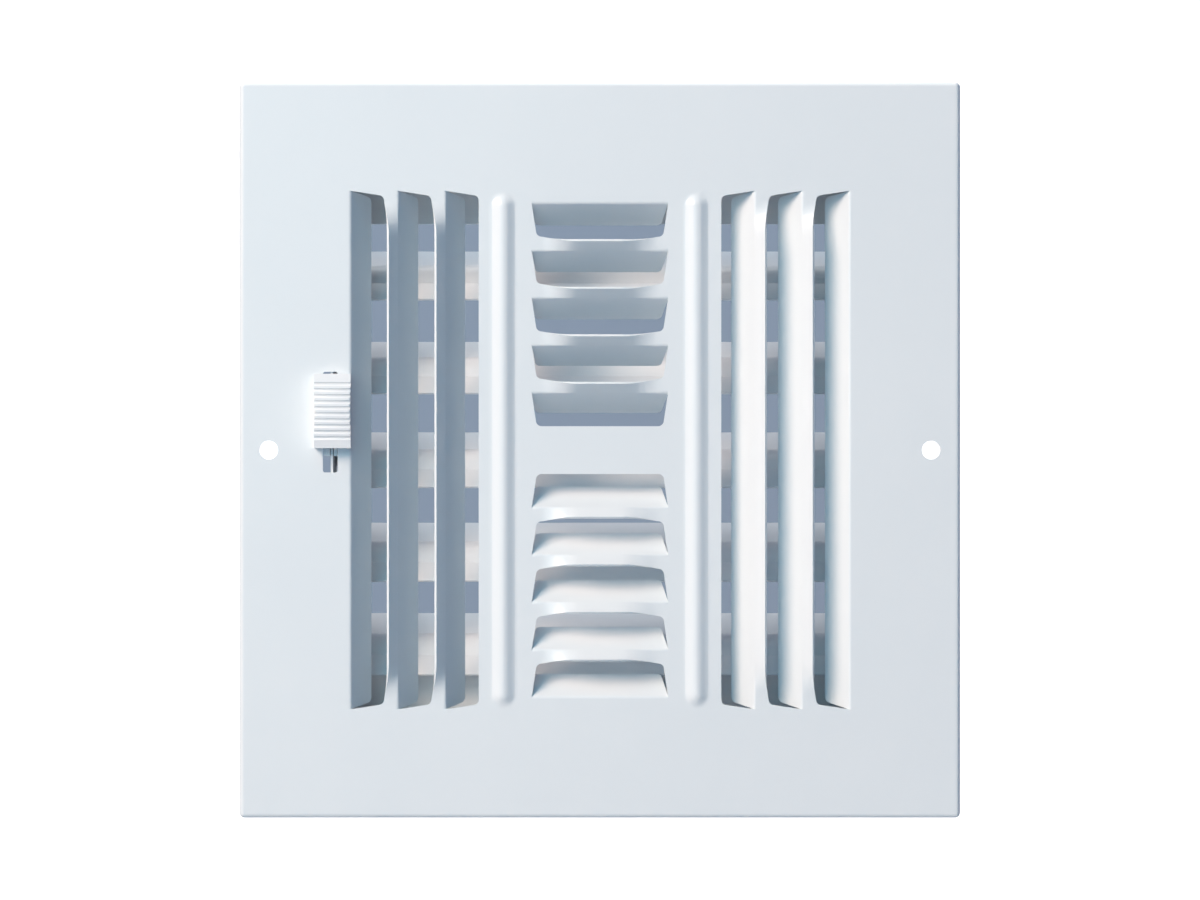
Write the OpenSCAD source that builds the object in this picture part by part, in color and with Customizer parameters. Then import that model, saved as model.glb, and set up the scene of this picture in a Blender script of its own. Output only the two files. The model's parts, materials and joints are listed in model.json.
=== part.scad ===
// Four-way sidewall register for a 6 by 6 inch duct, in millimetres.
// +X is right, +Z is up and the face looks towards -Y. The origin is at the centre of the
// face's front surface, on the line of the two screw holes.

/* [Face] */
// Width of the stamped face
face_w = 193.5; // [190:0.5:200]
// Height of the stamped face
face_h = 197.5; // [190:0.5:204]
// Thickness of the face sheet
sheet_t = 0.7; // [0.5:0.1:0.9]
// Depth of the rim that is turned back to the wall
rim_d = 7; // [5:0.5:9]
// Outer radius of the rim's bend and of its corners
rim_r = 1.4; // [1.2:0.1:2.4]

/* [Fixing holes and slot] */
// Distance between the two screw holes
hole_span = 177.6; // [174:0.2:180]
// Diameter of a screw hole
hole_d = 5; // [4:0.1:6]
// Width of the slot that the knob slides in
slot_w = 4; // [3.8:0.1:4.4]
// Length of the slot
slot_len = 27; // [26:0.5:29]
// Sideways place of the slot's centre line
slot_x = -72.3; // [-72.5:0.1:-72.1]
// Height of the slot's upper end
slot_top = 21; // [20.8:0.1:21.5]
// Radius in the slot's corners
slot_corner = 0.6; // [0.3:0.1:1.5]

/* [Ribs] */
// Distance of each stiffening rib from the middle
rib_x = 25.9; // [25:0.1:27]
// Width of a rib at the face
rib_w = 8; // [6:0.5:9]
// Height of a rib over the face
rib_h = 1.2; // [0.8:0.1:1.8]

/* [Louvres] */
// Distance from one louvre to the next
pitch = 12.7; // [12:0.1:13.2]
// Depth of the flap that is bent back, along the sheet
flap_d = 8.9; // [8:0.1:9]
// Angle of a flap behind the face
flap_angle = 53; // [45:1:58]
// Turn of the front strip where it leans out, at mid-length
lean_angle = 50; // [30:1:50]
// Inner radius of the fold
fold_r = 0.3; // [0.2:0.1:0.5]
// How much shorter a flap is at its free edge, at each end
end_slope = 1.35; // [0.8:0.05:2]
// Radius at a flap's free corners
flap_corner = 1.5; // [1:0.1:2]
// Length over which a strip twists out of the face
twist_len = 7; // [6:0.5:9]
// Louvres in each side bank
side_louvres = 3; // [2:1:3]
// Distance of the outermost side fold from the middle
side_fold_x = 66.8; // [66:0.1:68]
// Half length of a side louvre
side_half = 69.5; // [60:0.5:72]
// Louvres in each half of the centre bank
centre_louvres = 5; // [3:1:5]
// Height of the outermost centre fold over the middle
centre_fold_z = 66.1; // [65:0.1:67]
// Half length of a centre louvre
centre_half = 18.3; // [17:0.1:19]

/* [Damper frame] */
// Thickness of the frame's sheet
rail_t = 0.6; // [0.5:0.1:0.8]
// Distance of the side rails' inner faces from the middle
rail_x = 71.6; // [71.6:0.1:71.8]
// Half height of the frame
frame_half = 73; // [72.5:0.5:75]
// Depth of the side rails behind the face sheet
rail_d = 38; // [34:1:40]
// Distance of the stop flanges' free edges from the middle
stop_z = 62.5; // [61:0.5:63]
// Reach of the tabs that hold the frame to the face
tab_reach = 7; // [5:0.5:9]
// Diameter of the rivets at the frame's corners
rivet_d = 3; // [2.4:0.1:3.2]

/* [Blades] */
// Distance from one blade's rod to the next
blade_pitch = 25.75; // [25.5:0.05:26]
// Height of the middle blade's rod
middle_rod_z = -3.5; // [-4:0.1:-3]
// Distance of the rods behind the face's front
rod_y = 26.4; // [26:0.1:27]
// Diameter of a blade's rod
rod_d = 3.2; // [2.8:0.1:3.4]
// Thickness of the blade sheet
blade_t = 0.5; // [0.4:0.1:0.6]
// Width of a blade behind its rod, open
blade_rear = 16.5; // [15.5:0.1:17]
// Width of a blade in front of its rod, open
blade_front = 13; // [12:0.1:13.2]
// Half width of the bead over the rod
bead_half = 5.25; // [4.5:0.05:6]
// Height of the bead
bead_h = 2.35; // [2.3:0.05:3]
// Bend of the blade's front lip
lip_angle = 10; // [6:1:10]
// Tilt of an open blade over the horizontal
open_angle = 27; // [24:1:30]
// Turn of a blade from open to shut
swing = 58; // [50:1:58]
// Distance of a crank pin from its rod
crank_r = 10; // [9.5:0.1:10.5]
// Diameter of a crank pin
crank_d = 2.4; // [2:0.1:2.6]

/* [Knob] */
// Width of the knob
knob_w = 9.8; // [9:0.1:10]
// Height of the knob, up the face
knob_len = 19.8; // [18:0.1:20]
// How far the knob stands out
knob_out = 4.6; // [3.5:0.1:6]
// Place of the knob's middle, sideways
knob_x = -71.6; // [-72:0.1:-71]
// Height of the knob's upper end
knob_top = 20.4; // [20:0.1:20.6]
// How much lower the crown is at its ends
knob_crown = 1; // [0.5:0.1:1.5]
// Number of grip grooves
grooves = 10; // [6:1:10]
// Distance from one groove to the next
groove_pitch = 1.6; // [1.4:0.05:1.65]

/* [Hidden] */
$fn = 48;
blades = 5;

enamel = [0.92, 0.93, 0.94];
blade_enamel = [0.87, 0.89, 0.91];
zinc = [0.72, 0.73, 0.75];
white_plastic = [0.95, 0.95, 0.96];

// Sheet metal bends of the frame
bend_r = 0.4;
bend_out = rail_t + bend_r;

// Louvres
strip_d = pitch - flap_d;
fold_out = fold_r + sheet_t;
slope_angle = atan(end_slope / flap_d);
corner_s = flap_d - flap_corner;
corner_e = flap_corner / cos(slope_angle) + corner_s * tan(slope_angle);
corner_start = corner_e - flap_corner * cos(slope_angle);
fold_run = fold_out * tan(flap_angle / 2);
strip_clear = 0.07;
fold_relief = fold_run + 0.1;
root_reach = fold_run + 0.15;
first_strip = fold_relief + 0.8;
strip_end = corner_e + strip_clear;
sink = 0.4;
tuck = 0.1;
tuck_mid = -sheet_t * 0.6;
tuck_scale = 0.4;
arc_steps = 3;
twist_steps = 8;

// Clearances, and how far a cutter or a lapped piece runs past its neighbour
past = 1;
lap = 0.05;
run_gap = 0.08;
ear_gap = 0.4;
blade_gap = 0.7;
stop_gap = 0.2;
slide_gap = 0.2;
slot_gap = 0.3;

// Damper: a blade's rod is its axis, and the bar stands between the left rail and the blades
travel = 2 * crank_r * sin(swing / 2);
bead_r = (bead_half * bead_half + bead_h * bead_h) / (2 * bead_h);
blade_right = rail_x - blade_gap;
bar_x = slot_x + slot_w / 2 - slide_gap;
bar_t = 0.6;
ear_x = bar_x + bar_t + ear_gap;
rod_r = rod_d / 2;
crank_pin_r = crank_d / 2;
rod_stub = 0.8;
rod_reach = rail_x + rail_t + rod_stub;
crank_turn = 180 - swing / 2 - open_angle;
rivet_in = 6.5;
rivet_y = 16;
rivet_z = frame_half - rivet_in;
shut_angle = open_angle + swing;
top_stop_y = rod_y + (stop_z - rod_z(1)) / tan(shut_angle) - blade_t / 2 - stop_gap;
bottom_stop_y = rod_y + blade_gap;

// Knob: its stem fills the slot's width, and its two prongs straddle the left rail's edge
stem_x0 = slot_x - slot_w / 2 + slide_gap;
stem_x1 = bar_x;
stem_head_gap = 0.8;
stem_foot_gap = 0.4;
stem_top = slot_top - stem_head_gap;
stem_bottom = slot_top - slot_len + travel + stem_foot_gap;
prong_bottom = -1.6;
prong_y = 7;
stem_root = 0.5;
crown_r = (knob_len * knob_len / 4 + knob_crown * knob_crown) / (2 * knob_crown);
peg_y = 4.4;
peg_z = 9;
peg_r = 1.2;
peg_end = 0.4;

// Height of a blade's rod, counted from the top
function rod_z(i) = middle_rod_z + ((blades + 1) / 2 - i) * blade_pitch;

// How deep a flap reaches at distance e from its end
function flap_reach(e) =
    e <= corner_start ? max(root_reach, e / tan(slope_angle)) :
    e < corner_e ? corner_s + sqrt(max(0, flap_corner * flap_corner - pow(corner_e - e, 2))) :
    flap_d;

// Turn of the front strip at distance e from its end: flat in the face, then a smooth twist
function lean(e) =
    let (f = max(0, min(1, (e - strip_end) / twist_len)))
    lean_angle * f * f * (3 - 2 * f);

// Section of a louvre as [across, height] points: the front strip, the fold and the flap
function louvre_section(turn, strip, reach) =
    let (run = fold_out * tan((flap_angle - turn) / 2),
         c = [-run * cos(turn) - fold_out * sin(turn), run * sin(turn) - fold_out * cos(turn)],
         front = [-strip * cos(turn), strip * sin(turn)],
         rear = [reach * cos(flap_angle), -reach * sin(flap_angle)],
         turns = [for (k = [0:arc_steps]) turn + (flap_angle - turn) * k / arc_steps])
    concat([front],
           [for (a = turns) c + fold_out * [sin(a), cos(a)]],
           [rear, rear - sheet_t * [sin(flap_angle), cos(flap_angle)]],
           [for (k = [arc_steps:-1:0]) c + fold_r * [sin(turns[k]), cos(turns[k])]],
           [front - sheet_t * [sin(turn), cos(turn)]]);

// The same section squeezed into the middle of the sheet, where a louvre's end is sunk in it
function tucked_section(strip) =
    [for (p = louvre_section(0, strip - tuck, root_reach))
     [p[0], tuck_mid + tuck_scale * (p[1] - tuck_mid)]];

// Distances from a louvre's end at which its section is drawn
flap_stations = [-sink, root_reach * tan(slope_angle), corner_start,
                 for (f = [0.15, 0.4, 0.7, 1]) corner_start + f * (corner_e - corner_start)];
twist_stations = [for (k = [0:twist_steps]) strip_end + twist_len * k / twist_steps];

// Solid through a row of sections, each at its own distance along the louvre
module loft(sections, places) {
    n = len(sections[0]);
    last = len(sections) - 1;
    points = [for (j = [0:last], p = sections[j]) [p[0], places[j], p[1]]];
    walls = [for (j = [0:last - 1], k = [0:n - 1], side = [0, 1])
             let (a = j * n + k, b = j * n + (k + 1) % n)
             side == 0 ? [a, b + n, b] : [a, a + n, b + n]];
    first_cap = [[for (k = [0:n - 1]) k]];
    last_cap = [[for (k = [n - 1:-1:0]) last * n + k]];
    polyhedron(points, concat(walls, first_cap, last_cap), convexity = 6);
}

// One louvre, its fold along Y at x = 0 and its front strip, where it has one, on the -X side
module louvre(half, strip) {
    ends = strip > first_strip ? concat(flap_stations, twist_stations) : flap_stations;
    m = len(ends);
    order = [for (k = [0:m - 1]) [ends[k], -1], for (k = [m - 1:-1:0]) [ends[k], 1]];
    turns = [for (o = order) strip > first_strip ? lean(o[0]) : 0];
    loft([for (k = [0:2 * m - 1]) order[k][0] < 0 ? tucked_section(strip) :
              louvre_section(turns[k], strip, flap_reach(order[k][0]))],
         [for (o = order) o[1] * (half - o[0])]);
}

// A bank of louvres that follow each other along +X, the first one a flap of the face itself
module louvre_bank(count, half) {
    louvre(half, first_strip);
    for (k = [1:count - 1]) translate([k * pitch, 0, 0]) louvre(half, strip_d);
}

// Openings that the same bank is cut from the sheet with
module bank_openings(count, half) {
    for (k = [0:count - 1]) translate([k * pitch, 0]) {
        polygon([for (s = [-1, 1]) each opening_side(half, s)]);
        for (s = [-1, 1]) translate([corner_s, s * (half - corner_e)]) circle(flap_corner);
        if (k > 0) translate([-strip_d - past, strip_end - half])
            square([strip_d + past, 2 * (half - strip_end)]);
    }
}

// One end of an opening's outline, up to where its round corners start
function opening_side(half, s) =
    let (e = corner_start, corner = [corner_s + flap_corner * sin(slope_angle), s * (half - e)],
         side = [[-fold_relief, s * half], [0, s * half], corner, [flap_d, s * (half - corner_e)]])
    s < 0 ? side : [for (k = [3:-1:0]) side[k]];

// Places a drawing of the right way up for each of the four banks
module side_banks() for (turn = [0, 180]) rotate(turn) translate([-side_fold_x, 0, 0]) children();
module centre_banks() for (turn = [90, -90]) rotate(turn) translate([-centre_fold_z, 0, 0]) children();

// Turns a drawing of the face, its front towards +Z, upright and towards -Y
module upright() rotate([90, 0, 0]) children();

// Pushes a side view, drawn as [depth, height], along X
module along_x(x0, x1) translate([x0, 0, 0]) rotate([90, 0, 90]) linear_extrude(x1 - x0) children();

// A round bar along X
module bar_x(r, x0, x1) translate([x0, 0, 0]) rotate([0, 90, 0]) cylinder(r = r, h = x1 - x0);

module rounded_rect(w, h, r) {
    square([w - 2 * r, h], center = true);
    square([w, h - 2 * r], center = true);
    for (x = [-1, 1], y = [-1, 1]) translate([x * (w / 2 - r), y * (h / 2 - r)]) circle(r);
}

// A block with a flat front at z = 0 and round front edges and corners
module rounded_block(w, h, r, d) {
    translate([0, 0, -d]) linear_extrude(d - r) rounded_rect(w, h, r);
    translate([0, 0, -r]) linear_extrude(r) square([w - 2 * r, h - 2 * r], center = true);
    for (s = [-1, 1]) {
        translate([0, s * (h / 2 - r), -r]) rotate([0, 90, 0])
            cylinder(r = r, h = w - 2 * r, center = true);
        translate([s * (w / 2 - r), 0, -r]) rotate([90, 0, 0])
            cylinder(r = r, h = h - 2 * r, center = true);
        for (t = [-1, 1]) translate([s * (w / 2 - r), t * (h / 2 - r), -r]) sphere(r);
    }
}

// A round-ended bar whose cap, seen over the face, is a rib
module rib_bar(shrink) {
    r = (rib_w * rib_w / 4 + rib_h * rib_h) / (2 * rib_h);
    reach = side_half - rib_w / 2;
    for (s = [-1, 1]) translate([s * rib_x, 0, rib_h - r]) {
        rotate([90, 0, 0]) cylinder(r = r - shrink, h = 2 * reach, center = true);
        for (t = [-1, 1]) translate([0, t * reach, 0]) sphere(r - shrink);
    }
}

// Everything of the face but its louvres: a tray with ribs, openings, slot and holes
module blank_face() {
    difference() {
        union() {
            rounded_block(face_w, face_h, rim_r, rim_d);
            intersection() {
                rib_bar(0);
                translate([0, 0, rib_h / 2])
                    cube([4 * rib_x, 2 * side_half, rib_h + sheet_t], center = true);
            }
        }
        translate([0, 0, -sheet_t])
            rounded_block(face_w - 2 * sheet_t, face_h - 2 * sheet_t, rim_r - sheet_t, rim_d);
        rib_bar(sheet_t);
        translate([0, 0, -2 * sheet_t]) linear_extrude(3 * sheet_t) {
            side_banks() bank_openings(side_louvres, side_half);
            centre_banks() bank_openings(centre_louvres, centre_half);
            translate([slot_x, slot_top - slot_len / 2]) rounded_rect(slot_w, slot_len, slot_corner);
        }
        for (s = [-1, 1]) translate([s * hole_span / 2, 0, -2 * sheet_t])
            cylinder(d = hole_d, h = 3 * sheet_t);
    }
}

module face_plate() {
    color(enamel) upright() {
        blank_face();
        side_banks() louvre_bank(side_louvres, side_half);
        centre_banks() louvre_bank(centre_louvres, centre_half);
    }
}

// Two legs of sheet that meet in a bend, the outer corner at the origin
module angle_section(leg_x, leg_y) {
    translate([bend_out, 0]) square([leg_x - bend_out, rail_t]);
    translate([0, bend_out]) square([rail_t, leg_y - bend_out]);
    intersection() {
        translate([bend_out, bend_out]) difference() {
            circle(bend_out);
            circle(bend_r);
        }
        square(bend_out);
    }
}

// The right-hand side rail: a strip on edge with two tabs turned out behind the face
module side_rail() {
    tab_half = 12;
    tab_z = 50;
    difference() {
        union() {
            translate([rail_x, sheet_t + bend_out, -frame_half])
                cube([rail_t, rail_d - bend_out, 2 * frame_half]);
            for (z = [[-frame_half, -tab_z - tab_half], [tab_half - tab_z, tab_z - tab_half],
                      [tab_z + tab_half, frame_half]])
                translate([rail_x, sheet_t, z[0]]) cube([rail_t, bend_out, z[1] - z[0]]);
            for (s = [-1, 1]) translate([rail_x, sheet_t, s * tab_z - tab_half])
                linear_extrude(2 * tab_half) angle_section(tab_reach + rail_t, bend_out + past);
        }
        for (i = [1:blades]) translate([0, rod_y, rod_z(i)])
            bar_x(rod_r + run_gap, rail_x - past, rail_x + rail_t + past);
        for (s = [-1, 1]) translate([0, rivet_y, s * rivet_z])
            bar_x(rivet_d / 2, rail_x - past, rail_x + rail_t + past);
    }
}

module side_rail_right() color(enamel) side_rail();
module side_rail_left() color(enamel) mirror([1, 0, 0]) side_rail();

// A top rail whose stop flange ends at depth stop_y: it has two tabs behind the face and an
// end tab at each side, which the corner rivets hold to the side rails
module cross_rail(stop_y) {
    tab_half = 12;
    tab_x = 38;
    end_reach = 10.5;
    end_half = 7;
    end_gap = 0.2;
    inner = rail_x - end_gap;
    difference() {
        union() {
            translate([-inner + bend_out, sheet_t + bend_out, frame_half - rail_t])
                cube([2 * (inner - bend_out), stop_y - sheet_t - 2 * bend_out, rail_t]);
            along_x(-inner, inner) translate([stop_y, frame_half]) rotate(180)
                angle_section(bend_out + past, frame_half - stop_z);
            for (s = [-1, 1]) translate([s * tab_x, 0, 0]) along_x(-tab_half, tab_half)
                translate([sheet_t, frame_half - rail_t])
                    angle_section(bend_out + past, tab_reach + rail_t);
            for (s = [0, 1]) mirror([s, 0, 0]) translate([rail_x, rivet_y + end_half, frame_half])
                rotate([90, 180, 0]) linear_extrude(2 * end_half)
                    angle_section(bend_out + past, end_reach);
        }
        for (s = [-1, 1]) translate([s * (rail_x - rail_t), rivet_y, rivet_z])
            bar_x(rivet_d / 2, -2 * past, 2 * past);
    }
}

module top_rail() color(enamel) cross_rail(top_stop_y);
module bottom_rail() color(enamel) mirror([0, 0, 1]) cross_rail(bottom_stop_y + rail_t);

// Corner rivets: a low round head outside, a shank, and a flat upset end inside
module rivet() {
    head_r = rivet_d * 0.9;
    head_h = 1;
    dome_r = (head_r * head_r + head_h * head_h) / (2 * head_h);
    upset_r = rivet_d * 0.7;
    upset_h = 0.35;
    grip = 2 * rail_t;
    rotate_extrude() {
        translate([0, -grip - upset_h]) square([rivet_d / 2, grip + upset_h + head_h / 2]);
        translate([0, -grip - upset_h]) square([upset_r, upset_h]);
        intersection() {
            translate([0, head_h - dome_r]) circle(dome_r);
            square([head_r, head_h]);
        }
    }
}

module frame_rivets()
    color(zinc) for (s = [0, 1], z = [-1, 1]) mirror([s, 0, 0])
        translate([rail_x + rail_t, rivet_y, z * rivet_z]) rotate([0, 90, 0]) rivet();

// Puts a blade's drawing, made flat with its rod at the origin, in its place
module at_rod(i) translate([0, rod_y, rod_z(i)]) rotate([open_angle, 0, 0]) children();

// Section of a blade: flat behind the rod, a bead over it and a bent lip in front
module blade_section() {
    translate([bead_half - lap, -blade_t / 2]) square([blade_rear - bead_half + lap, blade_t]);
    intersection() {
        translate([0, bead_h - bead_r]) difference() {
            circle(bead_r + blade_t / 2);
            circle(bead_r - blade_t / 2);
        }
        translate([-2 * bead_half, -blade_t / 2]) square([4 * bead_half, 2 * bead_half]);
    }
    translate([-bead_half, 0]) rotate(lip_angle) translate([bead_half - blade_front, -blade_t / 2])
        square([blade_front - bead_half + 3 * lap, blade_t]);
}

// A round-ended link from the origin, at an angle
module link(r, length, angle) rotate(angle) {
    circle(r);
    translate([length, 0]) circle(r);
    translate([0, -r]) square([length, 2 * r]);
}

module blade(i) {
    ear_r = 3.4;
    foot = [bead_half + 3, ear_r + blade_t / 2];
    color(blade_enamel) at_rod(i) difference() {
        union() {
            along_x(ear_x, blade_right) blade_section();
            along_x(ear_x, ear_x + blade_t) {
                link(ear_r, crank_r, crank_turn);
                translate([0, -blade_t / 2]) square(foot);
            }
            along_x(blade_right - blade_t, blade_right) {
                circle(ear_r);
                translate([0, -blade_t / 2]) square(foot);
            }
        }
        bar_x(rod_r, ear_x - past, blade_right + past);
        rotate([crank_turn, 0, 0]) translate([0, crank_r, 0])
            bar_x(crank_pin_r, ear_x - past, ear_x + blade_t + past);
    }
}

module blade_rod(i) color(zinc) at_rod(i) bar_x(rod_r, -rod_reach, rod_reach);

// A shouldered pin from the blade's ear through the bar's slot
module crank_pin(i) {
    head_t = 0.6;
    head_rim = 0.9;
    head_x = bar_x - 0.1;
    upset_t = 0.5;
    upset_rim = 0.7;
    ear_end = ear_x + blade_t;
    color(zinc) at_rod(i) rotate([crank_turn, 0, 0]) translate([0, crank_r, 0]) {
        bar_x(crank_pin_r, head_x - head_t, ear_end);
        bar_x(crank_pin_r + head_rim, head_x - head_t, head_x);
        bar_x(crank_pin_r + upset_rim, ear_end, ear_end + upset_t);
    }
}

// The bar that turns all blades: a strip with a short slot at each crank, and an arm to the knob
module operating_bar() {
    strip_half = 4.6;
    end_margin = 3.6;
    slot_r = crank_pin_r + slot_gap;
    crank_rise = crank_r * sin(swing / 2);
    near = crank_r * cos(swing / 2);
    mid = (near + crank_r) / 2;
    arm_y = 1.6;
    arm_z = [2, 16];
    color(zinc) difference() {
        along_x(bar_x, bar_x + bar_t) {
            translate([rod_y - mid - strip_half, rod_z(blades) + crank_rise - slot_r - end_margin])
                square([2 * strip_half, (blades - 1) * blade_pitch + 2 * (slot_r + end_margin)]);
            translate([arm_y, arm_z[0]]) square([rod_y - mid - arm_y, arm_z[1] - arm_z[0]]);
        }
        for (i = [1:blades]) along_x(bar_x - past, bar_x + bar_t + past)
            translate([rod_y - crank_r, rod_z(i) + crank_rise]) link(slot_r, crank_r - near, 0);
        translate([0, peg_y, peg_z]) bar_x(peg_r, bar_x - past, bar_x + bar_t + past);
    }
}

// Height of the crown over the knob's middle at distance z along it
function crown_drop(z) = crown_r - sqrt(crown_r * crown_r - z * z);

module knob() {
    foot_y = -slide_gap;
    front_y = foot_y - knob_out;
    mid_z = knob_top - knob_len / 2;
    groove_r = 0.55;
    groove_rise = 0.2;
    groove_top = knob_top - 2.7;
    foot_slope = 35;
    edge_r = 0.7;
    fork_y = sheet_t - 0.25;
    prong_gap0 = -rail_x - rail_t - slide_gap;
    prong_gap1 = -rail_x + slide_gap;
    color(white_plastic) {
        difference() {
            intersection() {
                along_x(knob_x - knob_w / 2, knob_x + knob_w / 2) intersection() {
                    translate([front_y + crown_r, mid_z]) circle(crown_r, $fn = 180);
                    translate([front_y, mid_z - knob_len / 2]) square([knob_out, knob_len]);
                }
                translate([knob_x, 0, mid_z - knob_len]) linear_extrude(2 * knob_len)
                    translate([0, foot_y]) difference() {
                        rounded_rect(knob_w, 2 * knob_out, edge_r);
                        translate([-knob_w, 0]) square(2 * knob_w);
                    }
            }
            for (k = [0:grooves - 1]) {
                z = groove_top - k * groove_pitch;
                translate([0, front_y + crown_drop(z - mid_z) - groove_rise, z])
                    bar_x(groove_r, knob_x - knob_w, knob_x + knob_w);
            }
            translate([knob_x - knob_w, front_y, knob_top - knob_len]) rotate([-foot_slope, 0, 0])
                translate([0, -knob_out, -knob_out]) cube([2 * knob_w, 2 * knob_out, knob_out]);
        }
        difference() {
            union() {
                translate([stem_x0, foot_y - stem_root, stem_bottom])
                    cube([stem_x1 - stem_x0, prong_y - foot_y + stem_root, stem_top - stem_bottom]);
                translate([stem_x0, sheet_t + slide_gap, prong_bottom])
                    cube([stem_x1 - stem_x0, prong_y - sheet_t - slide_gap,
                          stem_bottom - prong_bottom + past]);
            }
            translate([prong_gap0, fork_y, prong_bottom - past])
                cube([prong_gap1 - prong_gap0, prong_y, stem_top - prong_bottom + 2 * past]);
        }
        translate([0, peg_y, peg_z]) bar_x(peg_r, stem_x1 - 4 * lap, bar_x + bar_t + peg_end);
    }
}

face_plate();
side_rail_left();
side_rail_right();
top_rail();
bottom_rail();
frame_rivets();
blade(1);  // blade_1
blade(2);  // blade_2
blade(3);  // blade_3
blade(4);  // blade_4
blade(5);  // blade_5
blade_rod(1);  // blade_rod_1
blade_rod(2);  // blade_rod_2
blade_rod(3);  // blade_rod_3
blade_rod(4);  // blade_rod_4
blade_rod(5);  // blade_rod_5
crank_pin(1);  // crank_pin_1
crank_pin(2);  // crank_pin_2
crank_pin(3);  // crank_pin_3
crank_pin(4);  // crank_pin_4
crank_pin(5);  // crank_pin_5
operating_bar();
knob();
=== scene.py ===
import json
import math

import bpy
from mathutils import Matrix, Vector

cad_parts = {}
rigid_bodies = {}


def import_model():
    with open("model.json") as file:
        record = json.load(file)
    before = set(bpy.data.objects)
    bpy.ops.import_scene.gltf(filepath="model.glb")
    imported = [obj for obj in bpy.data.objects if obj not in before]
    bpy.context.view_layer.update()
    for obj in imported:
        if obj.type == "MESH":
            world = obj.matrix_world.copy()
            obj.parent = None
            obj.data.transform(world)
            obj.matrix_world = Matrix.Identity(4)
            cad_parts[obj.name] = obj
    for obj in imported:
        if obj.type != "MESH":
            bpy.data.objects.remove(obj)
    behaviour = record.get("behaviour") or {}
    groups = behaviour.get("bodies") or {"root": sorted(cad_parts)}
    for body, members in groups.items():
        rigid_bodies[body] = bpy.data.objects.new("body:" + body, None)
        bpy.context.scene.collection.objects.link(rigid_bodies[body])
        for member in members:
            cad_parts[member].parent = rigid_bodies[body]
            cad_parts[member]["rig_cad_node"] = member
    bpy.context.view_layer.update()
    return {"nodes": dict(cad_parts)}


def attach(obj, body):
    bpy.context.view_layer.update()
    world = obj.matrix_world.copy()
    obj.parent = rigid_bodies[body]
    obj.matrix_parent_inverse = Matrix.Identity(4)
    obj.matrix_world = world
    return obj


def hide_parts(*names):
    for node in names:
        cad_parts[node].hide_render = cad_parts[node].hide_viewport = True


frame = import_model()
nodes = frame["nodes"]
scene = bpy.context.scene

# Camera
# The photograph looks straight at the face from a little left of and above its middle, so the
# sensor is parallel to the face and a small shift frames it.
MM = 0.001
EYE_X = -45.5 * MM
EYE_Z = 13.4 * MM
EYE_DISTANCE = 650 * MM
VIEW_WIDTH = 321.6 * MM
VIEW_CENTRE_Z = 0.03 * MM
SENSOR_WIDTH = 36
UPRIGHT = (math.radians(90), 0, 0)
bpy.ops.object.select_all(action="DESELECT")
bpy.ops.object.camera_add(location=(EYE_X, -EYE_DISTANCE, EYE_Z), rotation=UPRIGHT)
camera = bpy.context.object
camera.name = "camera"
camera.data.sensor_width = SENSOR_WIDTH
camera.data.lens = SENSOR_WIDTH * EYE_DISTANCE / VIEW_WIDTH
camera.data.shift_x = -EYE_X / VIEW_WIDTH
camera.data.shift_y = (VIEW_CENTRE_Z - EYE_Z) / VIEW_WIDTH
scene.camera = camera

# Stage
# White paper runs over the floor and up a far wall, where it glows in a round spot: a painted pool
# of light in place of a background lamp. A bluish grey card of painted shade, with a faint painted
# glow, hangs behind the register and shows between its blades. The key light is warm and stands
# high at the left, and cooler lights fill the shade.
FLOOR_Z = -0.75
FLOOR_SIZE = 8
WALL_Y = 3
WALL_HEIGHT = 5
PAPER_ROUGHNESS = 0.9
# The paper's painted glow: full in a round spot on the far wall, fading out further off.
GLOW_SPOT_MIDDLE = (0.21, WALL_Y, -0.06)
GLOW_SPOT_RADIUS = 1.15
GLOW_SPOT_FADED_RADIUS = 2.2
PAINTED_SPOT_GLOW = 1.03
# The card is a sheet of painted shade with a faint painted glow, seen between the blades.
CARD_PLACE = (0.0625, 0.9, -0.02)
CARD_WIDTH = 0.365
CARD_HEIGHT = 0.39
PAINTED_CARD_GLOW = 0.08
AIR_GLOW = 0.12
scene.view_settings.view_transform = "Standard"


def srgb(code):
    """A #rrggbb colour as linear RGBA."""
    parts = [int(code[k:k + 2], 16) / 255 for k in (1, 3, 5)]
    return [c / 12.92 if c <= 0.04045 else ((c + 0.055) / 1.055) ** 2.4 for c in parts] + [1]


def add_node(tree, kind, settings=None, inputs=None):
    """A node with its settings; inputs go by name or number, to a socket or a plain value."""
    made = tree.nodes.new("ShaderNode" + kind)
    for key, value in (settings or {}).items():
        setattr(made, key, value)
    for key, value in (inputs or {}).items():
        if isinstance(value, bpy.types.NodeSocket):
            tree.links.new(value, made.inputs[key])
        else:
            made.inputs[key].default_value = value
    return made


def new_material(name, roughness):
    """A material of that roughness, with its node tree and its shader."""
    made = bpy.data.materials.new(name)
    made.use_nodes = True
    shader = made.node_tree.nodes["Principled BSDF"]
    shader.inputs["Roughness"].default_value = roughness
    return made, made.node_tree, shader


# Uncoated paper, rolled smooth and quite matt. It glows pure white in a round spot on the far wall
# and fades further off: a painted pool of light, with no lamp behind it
white_paper, tree, shader = new_material("white_seamless_paper", PAPER_ROUGHNESS)
shader.inputs["Base Color"].default_value = srgb("#e8e8e8")
shader.inputs["Emission Color"].default_value = srgb("#ffffff")
place = add_node(tree, "TexCoord").outputs["Object"]
from_middle = add_node(tree, "VectorMath", {"operation": "DISTANCE"}, {0: place, 1: GLOW_SPOT_MIDDLE})
glow = add_node(tree, "MapRange", {"interpolation_type": "SMOOTHSTEP"},
                {"Value": from_middle.outputs["Value"], "From Min": GLOW_SPOT_RADIUS,
                 "From Max": GLOW_SPOT_FADED_RADIUS, "To Min": PAINTED_SPOT_GLOW, "To Max": 0})
tree.links.new(glow.outputs["Result"], shader.inputs["Emission Strength"])

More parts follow.
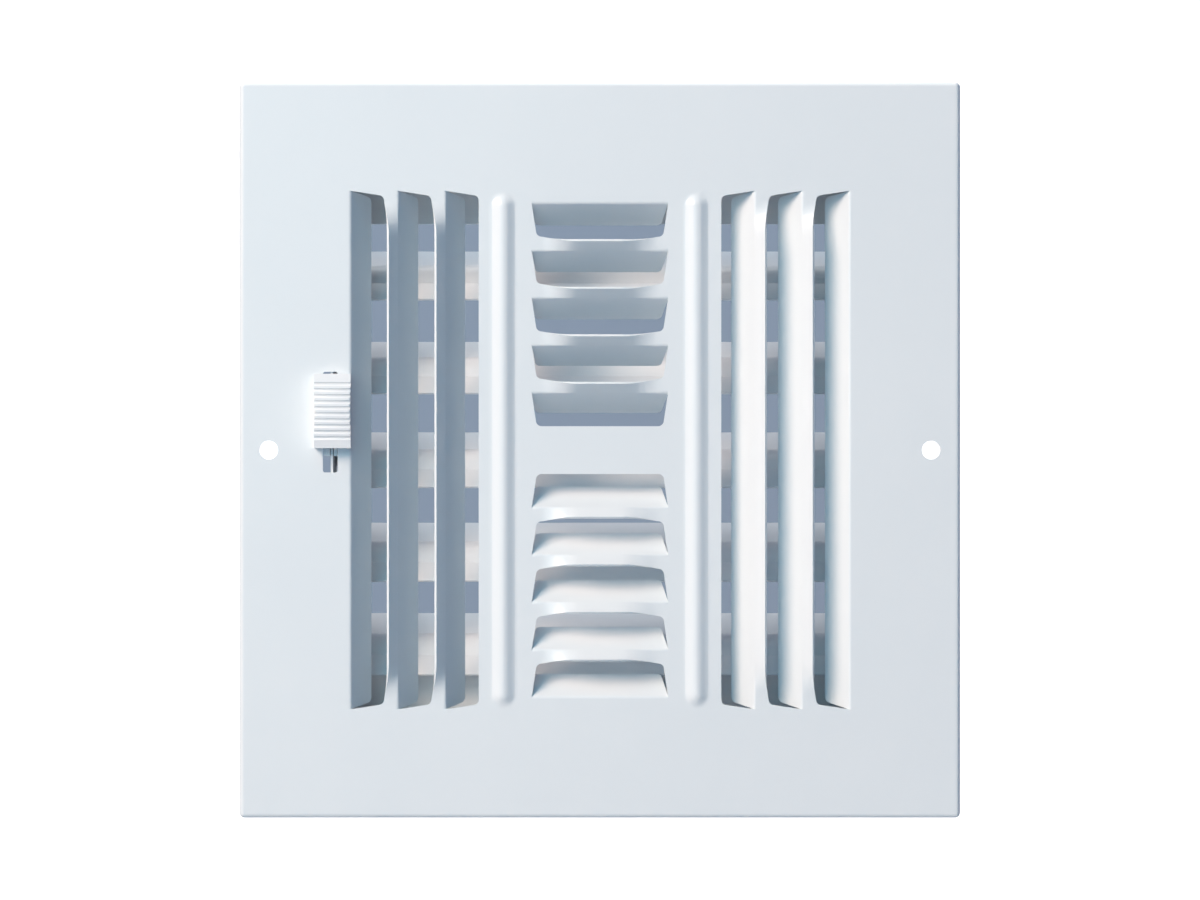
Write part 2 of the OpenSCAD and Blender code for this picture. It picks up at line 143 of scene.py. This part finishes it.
bpy.ops.object.select_all(action="DESELECT")
bpy.ops.mesh.primitive_plane_add(size=FLOOR_SIZE, location=(0, WALL_Y - FLOOR_SIZE / 2, FLOOR_Z))
sweep = bpy.context.object
sweep.name = "studio_sweep"
bpy.ops.object.transform_apply()
bpy.ops.object.mode_set(mode="EDIT")
bpy.ops.mesh.select_mode(type="EDGE")
bpy.ops.mesh.select_all(action="DESELECT")
bpy.ops.object.mode_set(mode="OBJECT")
for edge in sweep.data.edges:
    edge.select = all(sweep.data.vertices[v].co.y > WALL_Y - MM for v in edge.vertices)
bpy.ops.object.mode_set(mode="EDIT")
bpy.ops.mesh.extrude_region_move(TRANSFORM_OT_translate={"value": (0, 0, WALL_HEIGHT)})
bpy.ops.object.mode_set(mode="OBJECT")
sweep.data.materials.append(white_paper)

# A card as matt as the paper. Its bluish grey is painted shade, standing in for the shaded space
# behind the register, and its faint glow is painted light
painted_shade_card, tree, shader = new_material("painted_shade_card_material", PAPER_ROUGHNESS)
shader.inputs["Base Color"].default_value = srgb("#8c9db0")
shader.inputs["Emission Color"].default_value = srgb("#929cae")
shader.inputs["Emission Strength"].default_value = PAINTED_CARD_GLOW
bpy.ops.object.select_all(action="DESELECT")
bpy.ops.mesh.primitive_plane_add(size=1, location=CARD_PLACE, rotation=UPRIGHT)
card = bpy.context.object
card.name = "painted_shade_card"
card.scale = (CARD_WIDTH, CARD_HEIGHT, 1)
bpy.ops.object.transform_apply()
card.data.materials.append(painted_shade_card)

world = bpy.data.worlds.new("studio_air")
scene.world = world
world.use_nodes = True
world.node_tree.nodes["Background"].inputs["Color"].default_value = srgb("#7090ff")
world.node_tree.nodes["Background"].inputs["Strength"].default_value = AIR_GLOW


def softbox(name, place, size, spread, power, colour):
    """A square soft light that looks at the middle of the register, its grid set to a spread."""
    bpy.ops.object.select_all(action="DESELECT")
    bpy.ops.object.light_add(type="AREA", location=place)
    lamp = bpy.context.object
    lamp.name = name
    lamp.data.shape = "SQUARE"
    lamp.data.size = size
    lamp.data.spread = math.radians(spread)
    lamp.data.energy = power
    lamp.data.color = srgb(colour)[:3]
    lamp.rotation_euler = (-Vector(place)).to_track_quat("-Z", "Y").to_euler()


softbox("key_light", (-1.5, -1.65, 1.3), size=1.3, spread=80, power=17.3, colour="#ffe8d6")
softbox("fill_light", (-0.5, -1.6, 0.3), size=0.9, spread=180, power=6.2, colour="#8ce8ff")
softbox("top_light", (-0.2, -1.0, 1.6), size=0.9, spread=180, power=4, colour="#64e6ff")
softbox("rear_light", (0, 0.35, 1.2), size=0.6, spread=180, power=7.5, colour="#f2f4f2")


# Face
# One sheet of thin steel, stamped and folded: its rim, ribs, louvres, slot and holes are all in it.
# It is sprayed white and baked, which leaves a smooth, half-gloss coat with a faint orange peel.
ENAMEL_PEEL = 2.2 * MM
ENAMEL_CLOUD = 45 * MM
GLOSS_DRIFT = 0.06
SHEET = 0.7 * MM
SHARP_EDGE = math.radians(35)
SAME_CORNER = 0.002 * MM

# A louvre is a narrow strip of the sheet with a flap folded back along one side. The strip leaves
# the sheet flat, STRIP_IN from its bank's end, and twists until it leans out of the face by LEAN.
# Its cut edge has then drawn back by EDGE_DROP.
LOUVRE_PITCH = 12.7 * MM
STRIP = 3.8 * MM
STRIP_IN = 2.705 * MM
STRIP_SLACK = 0.15 * MM
FOLD_WIDTH = 0.8 * MM
LEAN = math.radians(50)
EDGE_DROP = STRIP * (1 - math.cos(LEAN)) - SHEET * math.sin(LEAN)
STAMPED_TWIST = 7 * MM
EASED_TWIST = 10 * MM
EASE_CUTS = (8 * MM, 9 * MM, 10 * MM)
BOW_LENGTH = 9 * MM

# A bank and its mirrored twin have so many openings each. The outermost fold of each lies
# first_fold from the middle, and the openings end half_length from it.
X_AXIS = 0
Z_AXIS = 2
SIDE_BANKS = {"across": X_AXIS, "along": Z_AXIS, "first_fold": 66.8 * MM,
              "half_length": 69.5 * MM, "louvres": 3}
CENTRE_BANKS = {"across": Z_AXIS, "along": X_AXIS, "first_fold": 66.1 * MM,
                "half_length": 18.3 * MM, "louvres": 5}

# A rib stands at each side of the centre banks. The solid's is a round-backed bar with round ends,
# and RIB_BEND is the radius of its back.
RIB_X = 25.9 * MM
RIB_HALF = 4 * MM
RIB_HEIGHT = 1.2 * MM
RIB_BEND = (RIB_HALF ** 2 + RIB_HEIGHT ** 2) / (2 * RIB_HEIGHT)
RIB_REACH = 65.5 * MM
RIB_CROWN = 0.2 * MM
RIB_FOOT = 3.5 * MM
RIB_CUTS = 8


def drift(tree, shader, share, colours, roughness=None):
    """Lets the colour drift from the first to the second as a share goes from 0 to 1, and the
    roughness with it where two are given."""
    # A Mix node takes its two colours at inputs 6 and 7, and gives the mixed one at output 2
    colour = add_node(tree, "Mix", {"data_type": "RGBA"},
                      {"Factor": share, 6: srgb(colours[0]), 7: srgb(colours[1])})
    tree.links.new(colour.outputs[2], shader.inputs["Base Color"])
    if roughness:
        gloss = add_node(tree, "MapRange", None,
                         {"Value": share, "To Min": roughness[0], "To Max": roughness[1]})
        tree.links.new(gloss.outputs["Result"], shader.inputs["Roughness"])


def ripple(tree, shader, place, width, depth, detail):
    """Gives the skin ripples of that width and depth."""
    waves = add_node(tree, "TexNoise", None,
                     {"Vector": place, "Scale": 1 / width, "Detail": detail}).outputs["Fac"]
    bump = add_node(tree, "Bump", None, {"Height": waves, "Strength": 1, "Distance": depth})
    tree.links.new(bump.outputs["Normal"], shader.inputs["Normal"])


def baked_enamel(name, thin, thick, roughness, peel_depth):
    """White enamel sprayed on steel and baked: the coat's thickness drifts a little across the
    sheet, which shifts its white and its gloss, and its skin ripples like orange peel."""
    made, tree, shader = new_material(name, roughness)
    place = add_node(tree, "TexCoord").outputs["Object"]
    cloud = add_node(tree, "TexNoise", None,
                     {"Vector": place, "Scale": 1 / ENAMEL_CLOUD, "Detail": 2}).outputs["Fac"]
    drift(tree, shader, cloud, (thin, thick),
          (roughness + GLOSS_DRIFT, roughness - GLOSS_DRIFT))
    ripple(tree, shader, place, ENAMEL_PEEL, peel_depth, detail=1)
    return made


def finish(piece, material):
    """Makes that material the piece's only one."""
    piece.data.materials.clear()
    piece.data.materials.append(material)


def joined_copy(node, name):
    """A copy of a CAD node, its triangles joined where corners are nearer than SAME_CORNER."""
    bpy.ops.object.select_all(action="DESELECT")
    piece = node.copy()
    piece.data = node.data.copy()
    piece.name = name
    piece.parent = None
    del piece["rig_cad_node"]
    scene.collection.objects.link(piece)
    bpy.context.view_layer.objects.active = piece
    piece.select_set(True)
    bpy.ops.object.mode_set(mode="EDIT")
    bpy.ops.mesh.select_all(action="SELECT")
    bpy.ops.mesh.remove_doubles(threshold=SAME_CORNER)
    bpy.ops.object.mode_set(mode="OBJECT")
    bpy.ops.mesh.customdata_custom_splitnormals_clear()
    return piece


def smooth_bends(piece):
    """Shades soft bends smooth, while each large flat keeps its own direction up to the bend."""
    bpy.ops.object.shade_smooth_by_angle(angle=SHARP_EDGE)
    piece.modifiers.new("flats_stay_flat", "WEIGHTED_NORMAL").keep_sharp = True
    bpy.ops.object.modifier_apply(modifier="flats_stay_flat")


def cut_faces(piece, is_chosen, place, direction):
    """Cuts the faces whose corners are all chosen, with a plane square to that direction."""
    bpy.ops.object.mode_set(mode="EDIT")
    bpy.ops.mesh.select_mode(type="FACE")
    bpy.ops.mesh.select_all(action="DESELECT")
    bpy.ops.object.mode_set(mode="OBJECT")
    corners = piece.data.vertices
    for polygon in piece.data.polygons:
        polygon.select = all(is_chosen(corners[v].co) for v in polygon.vertices)
    bpy.ops.object.mode_set(mode="EDIT")
    bpy.ops.mesh.bisect(plane_co=place, plane_no=direction, threshold=SAME_CORNER)
    bpy.ops.object.mode_set(mode="OBJECT")


def soft_share(share):
    """A share held between 0 and 1, which leaves the one and reaches the other softly."""
    held = max(0, min(1, share))
    return held * held * (3 - 2 * held)


def strip_place(point, bank):
    """How far a point is from its strip's fold and from its strip's end; nothing off the strips."""
    inward = bank["first_fold"] - abs(point[bank["across"]])
    louvre = round((inward + STRIP / 2) / LOUVRE_PITCH)
    from_fold = louvre * LOUVRE_PITCH - inward
    from_end = bank["half_length"] - STRIP_IN - abs(point[bank["along"]])
    on_strip = -FOLD_WIDTH < from_fold < STRIP + STRIP_SLACK and from_end > 0
    if on_strip and 0 < louvre < bank["louvres"]:
        return from_fold, from_end
    return None


def eased_place(from_fold, from_end, y):
    """The new distance from the fold and the new y of a point on a strip. The twist takes longer,
    and the cut edge draws back from the strip's very end on, so that it bows."""
    stamped = LEAN * soft_share(from_end / STAMPED_TWIST)
    eased = LEAN * soft_share(from_end / EASED_TWIST)
    along = from_fold * math.cos(stamped) - y * math.sin(stamped)
    above = -from_fold * math.sin(stamped) - y * math.cos(stamped)
    share = max(0, min(1, along / FOLD_WIDTH))
    bow = min(1, from_end / BOW_LENGTH)
    width = STRIP - EDGE_DROP * bow * (2 - bow) - SHEET * math.sin(eased)
    along *= 1 + share * (width / math.cos(eased) / STRIP - 1)
    turn = stamped + share * (eased - stamped)
    new_from_fold = along * math.cos(turn) - above * math.sin(turn)
    new_y = -along * math.sin(turn) - above * math.cos(turn)
    return new_from_fold, new_y


def ease_strips(piece, bank):
    """Gives the strips of a bank and its mirrored twin their longer twist and their bowed edge."""
    for cut in EASE_CUTS:
        for side in (-1, 1):
            place = Vector((0, 0, 0))
            place[bank["along"]] = side * (bank["half_length"] - STRIP_IN - cut)
            cut_faces(piece, lambda point: strip_place(point, bank), place, place.normalized())
    across = bank["across"]
    for corner in piece.data.vertices:
        on_strip = strip_place(corner.co, bank)
        if on_strip and on_strip[1] < EASED_TWIST:
            from_fold, y = eased_place(*on_strip, corner.co.y)
            corner.co[across] += (from_fold - on_strip[0]) * math.copysign(1, corner.co[across])
            corner.co.y = y


def from_rib(point):
    """How far a point is from the middle line of its rib."""
    return math.hypot(abs(point.x) - RIB_X, max(0, abs(point.z) - RIB_REACH))


def soften_ribs(piece):
    """Gives the ribs soft flanks, which run out into the sheet with no crease at their feet."""
    def is_on_rib(point):
        return from_rib(point) < RIB_HALF + SAME_CORNER

    for cut in range(RIB_CUTS):
        off = RIB_CROWN + (RIB_FOOT - RIB_CROWN) * cut / (RIB_CUTS - 1)
        for x in (-RIB_X - off, -RIB_X + off, RIB_X - off, RIB_X + off):
            cut_faces(piece, is_on_rib, (x, 0, 0), (1, 0, 0))
    for corner in piece.data.vertices:
        off = from_rib(corner.co)
        if off < RIB_HALF:
            solid_height = math.sqrt(RIB_BEND ** 2 - off ** 2) - RIB_BEND + RIB_HEIGHT
            is_behind = corner.co.y + solid_height > SHEET / 2
            height = RIB_HEIGHT * soft_share((RIB_FOOT - off) / (RIB_FOOT - RIB_CROWN))
            corner.co.y = -height + (SHEET if is_behind else 0)


face = joined_copy(nodes["face_plate"], "stamped_face")
for bank in (SIDE_BANKS, CENTRE_BANKS):
    ease_strips(face, bank)
soften_ribs(face)
smooth_bends(face)
finish(face, baked_enamel("baked_white_enamel", thin="#e6eaed", thick="#eceff1",
                          roughness=0.36, peel_depth=0.01 * MM))
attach(face, "register")
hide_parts("face_plate")

# Damper frame
# Four strips of thinner steel, bent and riveted into a box behind the face, sprayed with a thinner
# and duller white. The corner rivets are plated with bright zinc.
frame_white = baked_enamel("thin_satin_enamel", thin="#dfe3e6", thick="#e7eaec",
                           roughness=0.46, peel_depth=0.008 * MM)
for name in ("side_rail_left", "side_rail_right", "top_rail", "bottom_rail"):
    finish(nodes[name], frame_white)

# Bright zinc, plated on steel: a cool mirror that a thin bloom clouds in small patches
ZINC_BLOOM = 1.4 * MM
CLOUDED_ZINC = 0.42
CLEAR_ZINC = 0.2
bright_zinc, tree, shader = new_material("bright_zinc_plate", (CLOUDED_ZINC + CLEAR_ZINC) / 2)
shader.inputs["Metallic"].default_value = 1
place = add_node(tree, "TexCoord").outputs["Object"]
bloom = add_node(tree, "TexNoise", None,
                 {"Vector": place, "Scale": 1 / ZINC_BLOOM, "Detail": 3}).outputs["Fac"]
drift(tree, shader, bloom, ("#a8adb4", "#cdd1d6"), (CLOUDED_ZINC, CLEAR_ZINC))
finish(nodes["frame_rivets"], bright_zinc)

# Blades
# Each blade is folded sheet with a bead pressed over its rod and a bent front lip, sprayed white.
# The rods and the shouldered crank pins are zinc plated steel.
BLADES = 5
blade_white = baked_enamel("sprayed_blade_enamel", thin="#e2e6ea", thick="#eaedf0",
                           roughness=0.42, peel_depth=0.008 * MM)
for number in range(1, BLADES + 1):
    finish(nodes["blade_" + str(number)], blade_white)
    finish(nodes["blade_rod_" + str(number)], bright_zinc)
    finish(nodes["crank_pin_" + str(number)], bright_zinc)

# Operating bar
# A strip of plain galvanised sheet, sheared and punched. Hot zinc froze on it in flat crystals,
# which show as a pattern of dull and bright grey spangles.
SPANGLE = 4.5 * MM
DULL_SPANGLE = 0.5
BRIGHT_SPANGLE = 0.3
galvanised, tree, shader = new_material("galvanised_sheet", (DULL_SPANGLE + BRIGHT_SPANGLE) / 2)
shader.inputs["Metallic"].default_value = 1
place = add_node(tree, "TexCoord").outputs["Object"]
crystals = add_node(tree, "TexVoronoi", None,
                    {"Vector": place, "Scale": 1 / SPANGLE, "Randomness": 1}).outputs["Color"]
shade = add_node(tree, "SeparateColor", None, {"Color": crystals}).outputs["Red"]
drift(tree, shader, shade, ("#9ba0a6", "#c2c6cb"), (DULL_SPANGLE, BRIGHT_SPANGLE))
finish(nodes["operating_bar"], galvanised)

# Knob
# One moulding in white ABS, with soft edges and ten grip grooves. Its stem fills the slot and two
# prongs run on behind the face. The mould was lightly textured, so the plastic is half matt; its
# grain is drawn coarser than the real one, so that it shows.
KNOB_EDGE = 0.18 * MM
KNOB_GRAIN = 0.35 * MM
GRAIN_DEPTH = 0.004 * MM
KNOB_FLOW = 6 * MM
white_abs, tree, shader = new_material("moulded_white_abs", roughness=0.42)
place = add_node(tree, "TexCoord").outputs["Object"]
flow = add_node(tree, "TexNoise", None,
                {"Vector": place, "Scale": 1 / KNOB_FLOW, "Detail": 1}).outputs["Fac"]
drift(tree, shader, flow, ("#ebecee", "#f2f2f3"))
ripple(tree, shader, place, KNOB_GRAIN, GRAIN_DEPTH, detail=2)
knob = joined_copy(nodes["knob"], "moulded_knob")
finish(knob, white_abs)
edges = knob.modifiers.new("soft_edges", "BEVEL")
edges.width = KNOB_EDGE
edges.segments = 2
edges.limit_method = "ANGLE"
edges.angle_limit = SHARP_EDGE
bpy.ops.object.modifier_apply(modifier="soft_edges")
bpy.ops.mesh.customdata_custom_splitnormals_clear()
smooth_bends(knob)
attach(knob, "operator")
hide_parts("knob")
